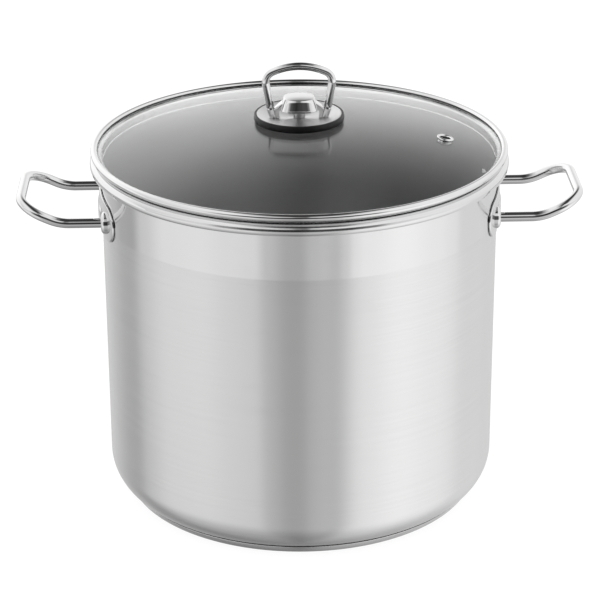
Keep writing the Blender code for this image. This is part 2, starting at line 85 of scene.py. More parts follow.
# Lid.
GLASS, GLASS_CROWN, DOME_RADIUS = 0.0030, 0.2773, 0.524
GLASS_FLAT_END, SCREW_HOLE = 0.1425, 0.0042
BAND_SHEET, BEAD_RADIUS, BEAD_Z = 0.0006, 0.0022, 0.2579
BEAD_FROM, BEAD_TO = math.radians(164), math.radians(-75)
BAND_OUTER, FLANGE_Z, BAND_FILLET = BAND_HIGH.x, 0.2540, 0.0009
TUCK_PATH = [(0.1449, 0.2553), (0.1446, 0.2549), (0.1442, 0.2545), (0.1438, 0.2542), (0.1433, FLANGE_Z)]
SKIRT_RADIUS, SKIRT_END, HEM_RADIUS = 0.1390, 0.2480, 0.0008
VENT_DISTANCE, VENT_ANGLE, VENT_HOLE = 0.1033, math.radians(-10), 0.0046
EYELET_SHEET, EYELET_LIP, EYELET_MIDDLE = 0.0005, 0.0010, 0.0048
GLASS_RINGS = 28

# Knob.
DISC, DISC_EDGE, DISC_FLAT, STEM_HOLE = 0.0008, 0.0300, 0.0205, 0.0026
DISC_FLAT_Z = DISC_LOW.z + DISC / 2
DISC_EDGE_Z = DISC_HIGH.z - DISC / 2
FOOT_Z, FOOT_X = DISC_FLAT_Z + DISC / 2 + 0.0001, 0.0168
BOSS_TOP, BOSS_TOP_WIDTH, BOSS_TOP_DEPTH = 0.2936, 0.0216, 0.0190
BOSS_SKIRT_Z, BOSS_SKIRT_WIDTH, BOSS_SKIRT_DEPTH = 0.2846, 0.0268, 0.0230
BOSS_NECK_RADIUS, BOSS_NECK_Z, BOSS_SQUARENESS = 0.0058, 0.2834, 2.8
STEM_RADIUS, STEM_HOLE_TOP = 0.0042, 0.2890
ARM_ROOT_X, ARM_ROOT_WIDTH, ARM_END_X, ARM_END_WIDTH = 0.0080, 0.0100, 0.0180, 0.0052
ARM_SIDE = (
    (ARM_ROOT_X, 0.2929), (0.0158, 0.2871), (0.0178, 0.2850), (0.0172, 0.2835),
    (FOOT_X - 0.0010, FOOT_Z), (FOOT_X - 0.0030, FOOT_Z),
    (0.0140, 0.2838), (0.0128, 0.2852), (ARM_ROOT_X, 0.2858),
)
LOOP_ROD, LOOP_TOP, LOOP_CROWN_RADIUS = 0.00275, LOOP_HIGH.z - 0.00275, 0.0450
LOOP_CORNER, LOOP_CORNER_X, LOOP_LEAN, LOOP_END_Z = 0.0080, 0.0153, math.radians(10), 0.2861

# Camera.
CAMERA_BACK, CAMERA_UP = 1.5289, 0.7906
CAMERA_LENS, CAMERA_SENSOR, CAMERA_NEAR, CAMERA_FAR = 136.8, 36.0, 0.05, 50.0
CAMERA_DOWN, CAMERA_ROLL, CAMERA_TURN = math.radians(23.106), math.radians(-0.282), math.radians(-1.6)

# Brightness round the studio, by azimuth in degrees: soft boxes left and right, darker flags between them.
SIDE_LIGHTS = [
    (-178, 0.66), (-156, 0.72), (-138, 0.62), (-126, 0.52), (-115, 0.50), (-104, 0.78), (-85, 1.00),
    (-62, 1.03), (-42, 0.97), (-28, 0.93), (-20, 0.70), (-8, 0.54), (-2, 0.53), (6, 0.66), (12, 0.70),
    (19, 0.67), (25, 0.82), (30, 1.03), (36, 1.12), (60, 1.22), (85, 1.12), (98, 1.04), (107, 0.90),
    (125, 0.88), (140, 0.82), (156, 0.76), (178, 0.66),
]
# Share of that brightness by elevation in degrees, below the horizon.
LOW_LIGHTS = [(-90, 0.42), (-58, 0.62), (-44, 0.82), (-32, 1.00), (0, 1.00)]
# Brightness above the horizon by the sideways part of the direction, -1 to 1, from the far side over the top
# to the camera's side.
REAR_LIGHTS = [(-1, 1.20), (-0.3, 1.32), (-0.12, 1.20), (0, 1.06), (0.3, 1.05), (1, 1.00)]
TOP_LIGHTS = [
    (-1, 0.85), (-0.8, 1.00), (-0.42, 1.10), (-0.33, 0.80), (-0.25, 0.45), (-0.15, 0.12), (-0.05, 0.04),
    (0.16, 0.06), (0.26, 0.20), (0.36, 0.75), (0.48, 1.05), (1, 1.05),
]
STRIP_LIGHTS = [
    (-1, 1.05), (-0.5, 1.05), (-0.25, 0.90), (-0.10, 0.60), (-0.04, 0.30), (0.03, 0.22), (0.08, 0.70),
    (0.16, 0.95), (0.5, 1.10), (1, 1.10),
]
FRONT_LIGHTS = [
    (-1, 0.80), (-0.80, 0.90), (-0.66, 0.40), (-0.46, 0.10), (-0.16, 0.05), (-0.05, 0.03), (0.05, 0.06),
    (0.14, 0.08), (0.40, 0.08), (0.60, 0.25), (0.76, 0.85), (1, 1.00),
]
# Where one set of lights gives way to the next, in degrees from the zenith towards the camera's side, and
# where the lower lights give way to the upper ones, as the upward part of the direction.
REAR_EDGE, STRIP_EDGE, FRONT_EDGE, HORIZON_EDGE = (-74, -38), (30, 36), (55, 64), (-0.21, -0.10)
# The rear edge slants by these degrees over that sideways reach, and the low lights tip by a share.
REAR_SLANT, SLANT_REACH, LOW_SLANT = (-17, 5), (-0.30, 0.05), 0.08
LIGHT_SCALE = 1.0
OVERHEAD_POWER = 120.0


# ---------------------------------------------------------------- shapes


def arc(centre, radius, start, end, segments):
    """Points of an arc, from angle start to angle end, both ends included."""
    turn = (end - start) / segments
    return [
        (centre[0] + radius * math.cos(start + turn * i), centre[1] + radius * math.sin(start + turn * i))
        for i in range(segments + 1)
    ]


def offset(path, distance):
    """The path moved to its left by a distance, with mitred corners."""
    points = [Vector(p) for p in path]
    ways = [(b - a).normalized() for a, b in zip(points, points[1:])]
    moved = []
    for i, point in enumerate(points):
        before, after = ways[max(i - 1, 0)], ways[min(i, len(ways) - 1)]
        normal = Vector((-(before.y + after.y), before.x + after.x)).normalized()
        moved.append(point + normal * distance / max(normal.dot((-after.y, after.x)), 0.3))
    return [(p.x, p.y) for p in moved]


def sheet_section(path, thickness, nose=4):
    """The section of a sheet that follows a path, with round ends where it doesn't start on the axis."""
    half = thickness / 2
    left, right = offset(path, half), offset(path, -half)[::-1]

    def cap(tip, inward):
        way = (Vector(tip) - Vector(inward)).normalized()
        heading = math.atan2(way.y, way.x)
        back = Vector(tip) - way * half
        return arc(back, half, heading + math.pi / 2, heading - math.pi / 2, nose)

    far = cap(path[-1], path[-2])
    near = cap(path[0], path[1]) if path[0][0] > 0 else []
    left = left[1:-1] if near else left[:-1]
    right = right[1:-1] if near else right[1:]
    return left + far + right + near


def new_object(name, bm):
    bmesh.ops.recalc_face_normals(bm, faces=bm.faces)
    mesh = bpy.data.meshes.new(name)
    bm.to_mesh(mesh)
    bm.free()
    obj = bpy.data.objects.new(name, mesh)
    bpy.context.scene.collection.objects.link(obj)
    return obj


def smooth(obj, angle=35):
    obj.data.shade_smooth()
    obj.data.set_sharp_from_angle(angle=math.radians(angle))
    return obj


def turned(name, section, steps, place=None):
    """A section of (radius, height) turned round Z. It is closed unless both its ends are on the axis."""
    bm = bmesh.new()
    rings = []
    for radius, height in section:
        if radius < 1e-7:
            rings.append([bm.verts.new((0, 0, height))])
            continue
        turns = [2 * math.pi * i / steps for i in range(steps)]
        rings.append([bm.verts.new((radius * math.cos(t), radius * math.sin(t), height)) for t in turns])
    pairs = list(zip(rings, rings[1:]))
    if len(rings[0]) > 1 or len(rings[-1]) > 1:
        pairs.append((rings[-1], rings[0]))
    for low, high in pairs:
        for i in range(steps):
            j = (i + 1) % steps
            corners = [low[i % len(low)], low[j % len(low)], high[j % len(high)], high[i % len(high)]]
            bm.faces.new(list(dict.fromkeys(corners)))
    if place:
        bm.transform(place)
    return smooth(new_object(name, bm))


def swept(name, path, radii, sides):
    """A round bar along a path, with a radius at each point and flat ends."""
    path = [Vector(p) for p in path]
    ways = [(b - a).normalized() for a, b in zip(path, path[1:])]
    tangents = [ways[0]] + [(a + b).normalized() for a, b in zip(ways, ways[1:])] + [ways[-1]]
    bm = bmesh.new()
    across = tangents[0].orthogonal().normalized()
    rings = []
    for point, tangent, radius in zip(path, tangents, radii):
        across = (across - tangent * across.dot(tangent)).normalized()
        other = tangent.cross(across)
        ring = []
        for i in range(sides):
            turn = 2 * math.pi * i / sides
            ring.append(bm.verts.new(point + (across * math.cos(turn) + other * math.sin(turn)) * radius))
        rings.append(ring)
    for a, b in zip(rings, rings[1:]):
        for i in range(sides):
            j = (i + 1) % sides
            bm.faces.new((a[i], a[j], b[j], b[i]))
    bm.faces.new(rings[0])
    bm.faces.new(rings[-1])
    return smooth(new_object(name, bm))


def lofted(name, rings, steps):
    """Rounded oblongs of (half width, half depth, height), joined from the top down, with closed ends."""
    bm = bmesh.new()
    made = []
    for width, depth, height in rings:
        ring = []
        for i in range(steps):
            across, along = math.cos(2 * math.pi * i / steps), math.sin(2 * math.pi * i / steps)
            x = math.copysign(width * abs(across) ** (2 / BOSS_SQUARENESS), across)
            y = math.copysign(depth * abs(along) ** (2 / BOSS_SQUARENESS), along)
            ring.append(bm.verts.new((x, y, height)))
        made.append(ring)
    bm.faces.new(made[0])
    bm.faces.new(made[-1])
    for upper, lower in zip(made, made[1:]):
        for i in range(steps):
            j = (i + 1) % steps
            bm.faces.new((upper[i], upper[j], lower[j], lower[i]))
    return new_object(name, bm)


def filleted(corners, radii, segments):
    """A polyline whose inner corners are rounded by arcs of the given radii."""
    points = [Vector(corners[0])]
    for before, corner, after, radius in zip(corners, corners[1:], corners[2:], radii):
        corner = Vector(corner)
        back, ahead = (Vector(before) - corner).normalized(), (Vector(after) - corner).normalized()
        turn = math.pi - back.angle(ahead)
        start = corner + back * radius * math.tan(turn / 2)
        axis = back.cross(ahead)
        centre = corner + (back + ahead).normalized() * radius / math.cos(turn / 2)
        for i in range(segments + 1):
            spin = Matrix.Rotation(-turn * i / segments, 3, axis)
            points.append(centre + spin @ (start - centre))
    return points + [Vector(corners[-1])]


def apply_modifiers(obj):
    graph = bpy.context.evaluated_depsgraph_get()
    mesh = bpy.data.meshes.new_from_object(obj.evaluated_get(graph))
    obj.modifiers.clear()
    obj.data = mesh
    return obj


def boolean(obj, operation, other):
    modifier = obj.modifiers.new(operation.lower(), "BOOLEAN")
    modifier.operation, modifier.solver, modifier.object = operation, "EXACT", other
    apply_modifiers(obj)
    bpy.data.objects.remove(other)


def stand_in(piece, node, body):
    """The piece takes a CAD node's place on its body: the node is hidden and the piece hangs from the body.
    """
    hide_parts(node)
    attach(piece, body)


def dome_z(radius):
    return GLASS_CROWN - DOME_RADIUS + math.sqrt(DOME_RADIUS**2 - radius**2)


# ---------------------------------------------------------------- materials


class Shader:
    """A small helper to build one node material."""

    def __init__(self, name):
        self.material = bpy.data.materials.new(name)
        self.material.use_nodes = True
        self.tree = self.material.node_tree
        self.bsdf = self.tree.nodes["Principled BSDF"]
        self.place = self.node("ShaderNodeTexCoord").outputs["Object"]

    def node(self, kind, **settings):
        made = self.tree.nodes.new(kind)
        for key, value in settings.items():
            setattr(made, key, value)
        return made

    def link(self, a, b):
        self.tree.links.new(a, b)

    def set(self, **values):
        for key, value in values.items():
            self.bsdf.inputs[key.replace("_", " ")].default_value = value

    def scaled(self, scale):
        mapping = self.node("ShaderNodeMapping")
        mapping.inputs["Scale"].default_value = scale
        self.link(self.place, mapping.inputs["Vector"])
        return mapping.outputs["Vector"]

    def noise(self, scale, detail=3.0, stretch=(1, 1, 1), roughness=0.5):
        node = self.node("ShaderNodeTexNoise")
        node.inputs["Scale"].default_value = scale
        node.inputs["Detail"].default_value = detail
        node.inputs["Roughness"].default_value = roughness
        self.link(self.scaled(stretch), node.inputs["Vector"])
        return node.outputs["Fac"]

    def ranged(self, value, low, high, to_low, to_high, kind="LINEAR"):
        node = self.node("ShaderNodeMapRange", interpolation_type=kind)
        for key, number in zip(("From Min", "From Max", "To Min", "To Max"), (low, high, to_low, to_high)):
            node.inputs[key].default_value = number
        self.link(value, node.inputs["Value"])
        return node.outputs["Result"]

    def maths(self, operation, a, b):
        node = self.node("ShaderNodeMath", operation=operation)
        for socket, value in zip(node.inputs, (a, b)):
            if isinstance(value, (int, float)):
                socket.default_value = value
            else:
                self.link(value, socket)
        return node.outputs["Value"]

    def tint(self, value, dark, light):
        """A colour that runs from dark to light as the value runs from 0 to 1."""
        node = self.node("ShaderNodeMix", data_type="RGBA")
        self.link(value, node.inputs["Factor"])
        node.inputs["A"].default_value = (*dark, 1)
        node.inputs["B"].default_value = (*light, 1)
        return node.outputs["Result"]

    def bump(self, height, distance, strength=1.0, below=None):
        node = self.node("ShaderNodeBump")
        node.inputs["Strength"].default_value = strength
        node.inputs["Distance"].default_value = distance
        self.link(height, node.inputs["Height"])
        if below:
            self.link(below, node.inputs["Normal"])
        return node.outputs["Normal"]

    def into(self, value, socket):
        self.link(value, self.bsdf.inputs[socket])


def grey(level):
    return (level, level, level)


def turned_steel(name, level, roughness, anisotropy, grain, grain_depth, collar_z=None):
    """Stainless steel brushed round the Z axis. Above collar_z it is mirror polished."""
    s = Shader(name)
    s.set(Metallic=1.0, Anisotropic=anisotropy, Anisotropic_Rotation=0.25)
    tangent = s.node("ShaderNodeTangent", direction_type="RADIAL", axis="Z")
    s.into(tangent.outputs["Tangent"], "Tangent")
    lines = s.noise(grain, 4.0, (0.004, 0.004, 1.0), 0.6)
    fine = s.noise(grain * 3.1, 2.0, (0.012, 0.012, 1.0), 0.5)
    cloud = s.noise(9.0, 3.0, (1.0, 1.0, 0.6))
    scuffs = s.noise(60.0, 5.0, (0.25, 0.25, 2.2), 0.7)
    grainy = s.maths("ADD", s.maths("MULTIPLY", lines, 0.7), s.maths("MULTIPLY", fine, 0.3))
    rough = s.ranged(grainy, 0.3, 0.7, roughness - 0.02, roughness + 0.02)
    rough = s.maths("ADD", rough, s.ranged(scuffs, 0.55, 0.75, 0.0, 0.03))
    mottle = s.maths("ADD", s.maths("MULTIPLY", grainy, 0.75), s.maths("MULTIPLY", cloud, 0.25))
    colour = s.tint(s.ranged(mottle, 0.35, 0.65, 0, 1), grey(level - 0.018), grey(level + 0.018))
    depth = s.bump(grainy, grain_depth)
    if collar_z is not None:
        split = s.node("ShaderNodeSeparateXYZ")
        s.link(s.place, split.inputs["Vector"])
        edge = s.maths("ADD", split.outputs["Z"], s.ranged(lines, 0.3, 0.7, -0.00025, 0.00025))
        polished = s.ranged(edge, collar_z - 0.0006, collar_z + 0.0006, 0, 1, "SMOOTHSTEP")
        smudge = s.noise(34.0, 4.0, (1.0, 1.0, 1.6), 0.65)
        mirror = s.ranged(smudge, 0.45, 0.75, 0.09, 0.16)
        mix = s.node("ShaderNodeMix", data_type="FLOAT")
        s.link(polished, mix.inputs["Factor"])
        s.link(rough, mix.inputs["A"])
        s.link(mirror, mix.inputs["B"])
        rough = mix.outputs["Result"]
        shade = s.node("ShaderNodeMix", data_type="RGBA")
        s.link(polished, shade.inputs["Factor"])
        s.link(colour, shade.inputs["A"])
        shade.inputs["B"].default_value = (*grey(level), 1)
        colour = shade.outputs["Result"]
        matte = s.node("ShaderNodeMath", operation="SUBTRACT")
        matte.inputs[0].default_value = 1.0
        s.link(polished, matte.inputs[1])
        depth = s.bump(s.maths("MULTIPLY", grainy, matte.outputs["Value"]), grain_depth)
    s.into(rough, "Roughness")
    s.into(colour, "Base Color")
    s.into(depth, "Normal")
    return s.material


def polished_steel(name, level=0.74, roughness=0.025, wave=0.000004):
    """Mirror-polished stainless with faint buffing marks, smudges and a slight waviness."""
    s = Shader(name)
    s.set(Metallic=1.0)
    smudge = s.noise(55.0, 4.0, (1, 1, 1), 0.65)
    buffing = s.noise(900.0, 2.0, (0.15, 0.15, 1.0), 0.5)
    rough = s.maths("ADD", s.ranged(smudge, 0.4, 0.75, roughness, roughness + 0.03),
                    s.ranged(buffing, 0.3, 0.7, 0.0, 0.015))
    s.into(rough, "Roughness")
    s.into(s.tint(s.ranged(smudge, 0.3, 0.7, 0, 1), grey(level - 0.02), grey(level + 0.02)), "Base Color")
    s.into(s.bump(s.noise(160.0, 2.0), wave), "Normal")
    return s.material


def plain_steel(name, level, roughness):
    s = Shader(name)
    s.set(Metallic=1.0)
    grain = s.noise(700.0, 4.0)
    s.into(s.ranged(grain, 0.3, 0.7, roughness - 0.06, roughness + 0.06), "Roughness")
    s.into(s.tint(grain, grey(level - 0.04), grey(level + 0.03)), "Base Color")
    s.into(s.bump(grain, 0.00001), "Normal")
    return s.material


def clear_glass():
    s = Shader("tempered_glass")
    s.set(Transmission_Weight=1.0, IOR=1.47)
    film = s.noise(22.0, 4.0, (1, 1, 1), 0.7)
    s.into(s.ranged(film, 0.5, 0.8, 0.0, 0.006), "Roughness")
    s.into(s.tint(film, (0.965, 0.975, 0.970), (0.985, 0.990, 0.987)), "Base Color")
    return s.material


def black_ring():
    s = Shader("black_ring")
    s.set(Specular_IOR_Level=0.3)
    pores = s.noise(1400.0, 3.0)
    s.into(s.ranged(pores, 0.3, 0.7, 0.30, 0.42), "Roughness")
    dust = s.noise(40.0, 4.0)
    s.into(s.tint(s.ranged(dust, 0.4, 0.8, 0, 1), grey(0.006), grey(0.014)), "Base Color")
    s.into(s.bump(pores, 0.00002), "Normal")
    return s.material


def soft_silicone():
    s = Shader("silicone")
    s.set(Subsurface_Weight=0.3)
    cloud = s.noise(300.0, 3.0)
    s.into(s.ranged(cloud, 0.3, 0.7, 0.45, 0.6), "Roughness")
    s.into(s.tint(cloud, (0.62, 0.62, 0.60), (0.74, 0.74, 0.72)), "Base Color")
    s.into(s.bump(cloud, 0.00002), "Normal")
    return s.material


def give(obj, material):
    obj.data.materials.clear()
    obj.data.materials.append(material)


# ---------------------------------------------------------------- pieces


def shell():
    half = SHEET / 2
    corner_from = CORNER_END_ANGLE - math.pi / 2
    corner = arc((WALL_RADIUS - CORNER_RADIUS, CORNER_CENTRE_Z), CORNER_RADIUS - half, corner_from, 0, 24)
    way_in = Vector((math.cos(corner_from), math.sin(corner_from)))
    fillet_radius = FLOOR_FILLET - half
    fillet_centre = Vector(corner[0]) - way_in * fillet_radius
    fillet = arc(fillet_centre, fillet_radius, -math.pi / 2, corner_from, 8)
    rim_z = RIM_TOP - half
    flare_centre = (WALL_RADIUS - half + FLARE_RADIUS, rim_z - FLARE_RADIUS)
    flare = arc(flare_centre, FLARE_RADIUS, math.pi, math.pi / 2, 12)
    curl_centre = (RIM_RADIUS - half - CURL_RADIUS, rim_z - CURL_RADIUS)
    curl = arc(curl_centre, CURL_RADIUS, math.pi / 2, CURL_END_ANGLE, 24)
    wall_top = flare[0][1]
    wall_low = corner[-1][1]
    rises = [(wall_top - wall_low) * i / WALL_RINGS for i in range(1, WALL_RINGS)]
    wall = [(WALL_RADIUS - half, wall_low + rise) for rise in rises]
    floor = [(radius, fillet[0][1]) for radius in (*FLOOR_RINGS, SHELL_FLOOR_END)]
    path = floor + fillet[:-1] + corner + wall + flare[:-1] + curl
    obj = turned("shell", sheet_section(path, SHEET), FINE)
    give(obj, turned_steel("shell_outside", 0.70, 0.23, 0.80, 900.0, 0.000004, COLLAR_EDGE_Z))
    obj.data.materials.append(turned_steel("shell_inside", 0.74, 0.34, 0.60, 700.0, 0.000003))
    inner = WALL_RADIUS - half
    for face in obj.data.polygons:
        middle = face.center
        away = math.hypot(middle.x, middle.y)
        facing_in = face.normal.x * middle.x + face.normal.y * middle.y < 0
        on_wall = away < inner and middle.z > CORNER_CENTRE_Z and middle.z < wall_top
        if on_wall or (middle.z <= CORNER_CENTRE_Z and (facing_in or face.normal.z > 0.3)):
            face.material_index = 1
    stand_in(obj, "pot_shell", "pot")


def cap():
    half = CAP_SHEET / 2
    bend = arc((CAP_FLAT_RADIUS, CAP_CORNER_RADIUS + half), CAP_CORNER_RADIUS, -math.pi / 2,
               CAP_SLOPE - math.pi / 2, 10)
    rise = CAP_TOP - bend[-1][1]
    edge = (bend[-1][0] + rise / math.tan(CAP_SLOPE), CAP_TOP)
    floor = [(radius, half) for radius in (*FLOOR_RINGS, CAP_FLOOR_END)]
    obj = turned("cap", sheet_section(floor + bend + [edge], CAP_SHEET), FINE)
    give(obj, turned_steel("cap_steel", 0.62, 0.24, 0.7, 1100.0, 0.000004))
    stand_in(obj, "base_cap", "pot")


def side_handle(hand, side):
    grip_x = HANDLE_HIGH.x - ROD_RADIUS
    grip_z = LEG_Z + GRIP_REACH * math.sin(GRIP_TILT)
    half = [(LEG_START_X, LEG_Z), (KINK_X, LEG_Z), (grip_x, grip_z)]
    corners = [(side * x, -LEG_SPREAD, z) for x, z in half]
    corners += [(side * x, LEG_SPREAD, z) for x, z in reversed(half)]
    path = filleted(corners, (KINK_RADIUS, GRIP_CORNER, GRIP_CORNER, KINK_RADIUS), 20)
    obj = swept("handle_rod_" + hand, path, [ROD_RADIUS] * len(path), 40)
    give(obj, ROD_STEEL)
    stand_in(obj, "handle_" + hand, "pot")


def plate_outline(count):
    """Half outline of the plate as (y, z), from the top middle round the lobe to the waist."""
    lobe = arc((LOBE_Y, LOBE_Z), LOBE_RADIUS, LOBE_FROM, LOBE_TO, count)
    return [(0, PLATE_TOP)] + lobe + [(PLATE_WAIST_Y, PLATE_WAIST_Z), (0, PLATE_WAIST_Z)]


def blend(value, low, high):
    """0 below low, 1 above high, and a smooth step between."""
    t = max(0.0, min(1.0, (value - low) / (high - low)))
    return t * t * (3 - 2 * t)


def plate_height(y, z):
    """How far the pressing stands out of its flat face, as a ridge that runs between the legs."""
    along = max(abs(y) - (RIDGE_HALF - RIDGE_HEIGHT / 2), 0.0)
    ridge = 1 - blend(math.hypot(along, z - RIDGE_Z), RIDGE_HEIGHT / 2 - RIDGE_SLOPE, RIDGE_HEIGHT / 2)
    return (RIDGE_FACE - PLATE_FACE) * ridge


def handle_plate(hand, side):
    """A pressed plate on the wall's curve, as rings from its middle to its rounded edge."""
    half = plate_outline(24)
    outline = half + [(-y, z) for y, z in reversed(half[1:-1])]
    closed = [Vector(p) for p in outline]
    lengths = [0.0]
    for a, b in zip(closed, closed[1:] + closed[:1]):
        lengths.append(lengths[-1] + (b - a).length)
    count = PLATE_STEPS
    even = []
    for i in range(count):
        want = lengths[-1] * i / count
        k = max(j for j in range(len(closed)) if lengths[j] <= want)
        a, b = closed[k], closed[(k + 1) % len(closed)]
        even.append(a + (b - a) * (want - lengths[k]) / (lengths[k + 1] - lengths[k]))
    even = [
        (even[i - 2] + even[i - 1] * 2 + even[i] * 3 + even[(i + 1) % count] * 2 + even[(i + 2) % count]) / 9
        for i in range(count)
    ]
    middle = Vector((0, RIDGE_Z + 0.004))
    thickness = PLATE_FACE - PLATE_BACK
    bm = bmesh.new()

    def at(point, lift):
        turn = math.asin(point.x / WALL_RADIUS)
        reach = PLATE_BACK + lift
        return bm.verts.new((side * reach * math.cos(turn), reach * math.sin(turn), point.y))

    rings = []
    for share in [k / PLATE_RINGS for k in range(1, PLATE_RINGS - 1)]:
        ring = [middle + (p - middle) * share for p in even]
        rings.append([at(q, thickness + plate_height(q.x, q.y)) for q in ring])
    for k in range(7):
        turn = math.pi / 2 * k / 6
        inset = PLATE_EDGE_ROUND * (1 - math.sin(turn))
        lift = thickness - PLATE_EDGE_ROUND * (1 - math.cos(turn))
        rings.append([at(p - (p - middle).normalized() * inset, lift) for p in even])
    for share in (1.0, 0.75, 0.5, 0.25):
        rings.append([at(middle + (p - middle) * share, 0.0) for p in even])
    for a, b in zip(rings, rings[1:]):
        for i in range(count):
            j = (i + 1) % count
            bm.faces.new((a[i], a[j], b[j], b[i]))
    for ring, lift in ((rings[0], thickness + plate_height(*middle)), (rings[-1], 0.0)):
        hub = at(middle, lift)
        for i in range(count):
            bm.faces.new((hub, ring[i], ring[(i + 1) % count]))
    obj = smooth(new_object("plate_" + hand, bm), 60)
    give(obj, PLATE_STEEL)
    stand_in(obj, "handle_plate_" + hand, "pot")


def leg_collar(hand, side, word, end):
    """The raised seat round a rod end: a low dome that runs up to the rod."""
    low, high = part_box("leg_collar_" + hand + "_" + word)
    tip = max(abs(low.x), abs(high.x))
    radius = (high.z - low.z) / 2
    bore = ROD_RADIUS - ROD_BITE
    section = [(bore, SEAT_FOOT), (radius, SEAT_FOOT)]
    for step in range(SEAT_STEPS + 1):
        turn = math.pi / 2 * step / SEAT_STEPS
        reach = SEAT_CREST + (radius - SEAT_CREST) * math.cos(turn)
        section.append((reach, SEAT_SHOULDER + (tip - SEAT_SHOULDER) * math.sin(turn)))
    section.append((bore, tip))
    place = Matrix.Translation((0, end * LEG_SPREAD, LEG_Z)) @ Matrix.Rotation(side * math.pi / 2, 4, "Y")
    obj = turned("leg_seat_" + hand + "_" + word, section, COARSE, place)
    give(obj, ROD_STEEL)
    stand_in(obj, "leg_collar_" + hand + "_" + word, "pot")


def vent_place():
    tilt = math.asin(VENT_DISTANCE / DOME_RADIUS)
    return (
        Matrix.Rotation(VENT_ANGLE, 4, "Z")
        @ Matrix.Translation((VENT_DISTANCE, 0, dome_z(VENT_DISTANCE)))
        @ Matrix.Rotation(tilt, 4, "Y")
    )


def dome_glass():
    """The clear dome, its ground edge and the hole for the eyelet. Its faces shade as the true sphere."""
    upper = [SCREW_HOLE + (GLASS_FLAT_END - SCREW_HOLE) * i / GLASS_RINGS for i in range(GLASS_RINGS + 1)]
    top = [(radius, dome_z(radius)) for radius in upper]
    half = GLASS / 2
    middle = (GLASS_FLAT_END, dome_z(GLASS_FLAT_END) - half)
    edge = arc(middle, half, math.pi / 2, -math.pi / 2, 12)[1:-1]
    bottom = [(radius, height - GLASS) for radius, height in reversed(top)]
    obj = turned("dome_glass", top + edge + bottom, FINE)
    cut = [(0, 0.02), (VENT_HOLE, 0.02), (VENT_HOLE, -0.02), (0, -0.02)]
    hole = turned("vent_cut", cut, COARSE, vent_place())
    boolean(obj, "DIFFERENCE", hole)
    smooth(obj)
    centre = Vector((0, 0, GLASS_CROWN - DOME_RADIUS))
    mesh = obj.data
    normals = [Vector(corner.vector) for corner in mesh.corner_normals]
    for face in mesh.polygons:
        if abs(face.normal.z) < 0.9:
            continue
        sign = 1 if face.normal.z > 0 else -1
        for index in face.loop_indices:
            point = mesh.vertices[mesh.loops[index].vertex_index].co
            if math.hypot(point.x, point.y) < GLASS_FLAT_END - 0.001:
                lifted = point if sign > 0 else point + Vector((0, 0, GLASS))
                normals[index] = (lifted - centre).normalized() * sign
    mesh.normals_split_custom_set(normals)
    give(obj, clear_glass())
    stand_in(obj, "lid_glass", "lid")


def band():
    """The rolled rim: a bead over the glass's edge, a tucked foot, a flange, and a skirt with a hem."""
    outer = BAND_OUTER - BAND_SHEET / 2
    bead = arc((outer - BEAD_RADIUS, BEAD_Z), BEAD_RADIUS, BEAD_FROM, BEAD_TO, 32)
    turn = arc((SKIRT_RADIUS + BAND_FILLET, FLANGE_Z - BAND_FILLET), BAND_FILLET, math.pi / 2, math.pi, 8)
    hem = arc((SKIRT_RADIUS - HEM_RADIUS, SKIRT_END + HEM_RADIUS), HEM_RADIUS, 0, -math.pi / 2, 8)
    obj = turned("rim_band", sheet_section(bead + TUCK_PATH + turn + hem, BAND_SHEET), FINE)
    give(obj, BAND_STEEL)
    stand_in(obj, "lid_band", "lid")


def eyelet():
    """A rolled lip on the glass, a tube through it and a lip turned out below."""
    bore, outer = EYELET_MIDDLE - EYELET_LIP, EYELET_MIDDLE + EYELET_LIP
    path = [(outer, 0.0005)] + arc((EYELET_MIDDLE, 0.0004), EYELET_LIP, 0.2, math.pi - 0.2, 10)
    path += [(bore, -0.0002), (bore, -0.0030)]
    path += arc((EYELET_MIDDLE, -0.0032), EYELET_LIP, math.pi, 1.6 * math.pi, 8)
    obj = turned("vent_ring", sheet_section(path, EYELET_SHEET), COARSE, vent_place())
    give(obj, BAND_STEEL)
    stand_in(obj, "vent_eyelet", "lid")


def gasket():
    """The black ring: it seats on the glass and a lip of it runs round the disc's edge."""
    lip, outer, top = DISC_EDGE + 0.0002, 0.0319, 0.2818
    section = [(lip, 0.2799)] + [(lip, top - 0.0002), (lip + 0.0002, top)]
    section += arc((0.0309, top - 0.0006), 0.0006, math.pi / 2, 0.35, 6)
    section += [(0.0317, 0.2805), (outer, 0.2795), (outer, 0.2786), (0.0317, 0.2775)]
    section += arc((0.0311, 0.2773), 0.0005, 0, -math.pi / 2, 5) + [(0.0265, 0.2771), (0.0265, 0.2790)]
    obj = turned("black_seat", section, MEDIUM)
    give(obj, black_ring())
    stand_in(obj, "knob_gasket", "knob")


def disc():
    rise = DISC_EDGE_Z - DISC_FLAT_Z
    path = [(STEM_HOLE, DISC_FLAT_Z), (0.009, DISC_FLAT_Z), (0.015, DISC_FLAT_Z)]
    for i in range(19):
        t = i / 18
        path.append((DISC_FLAT + (DISC_EDGE - DISC_FLAT) * t, DISC_FLAT_Z + rise * t * t * (3 - 2 * t)))
    obj = turned("dished_disc", sheet_section(path, DISC), MEDIUM)
    give(obj, turned_steel("disc_steel", 0.70, 0.42, 0.95, 1500.0, 0.000002))
    stand_in(obj, "knob_disc", "knob")


def loop_corner_z():
    reach = math.sqrt((LOOP_CROWN_RADIUS - LOOP_CORNER) ** 2 - LOOP_CORNER_X**2)
    return LOOP_TOP - LOOP_CROWN_RADIUS + reach


def loop_leg_x(height):
    drop = loop_corner_z() - LOOP_CORNER * math.sin(LOOP_LEAN) - height
    return LOOP_CORNER_X + LOOP_CORNER * math.cos(LOOP_LEAN) - drop * math.tan(LOOP_LEAN)


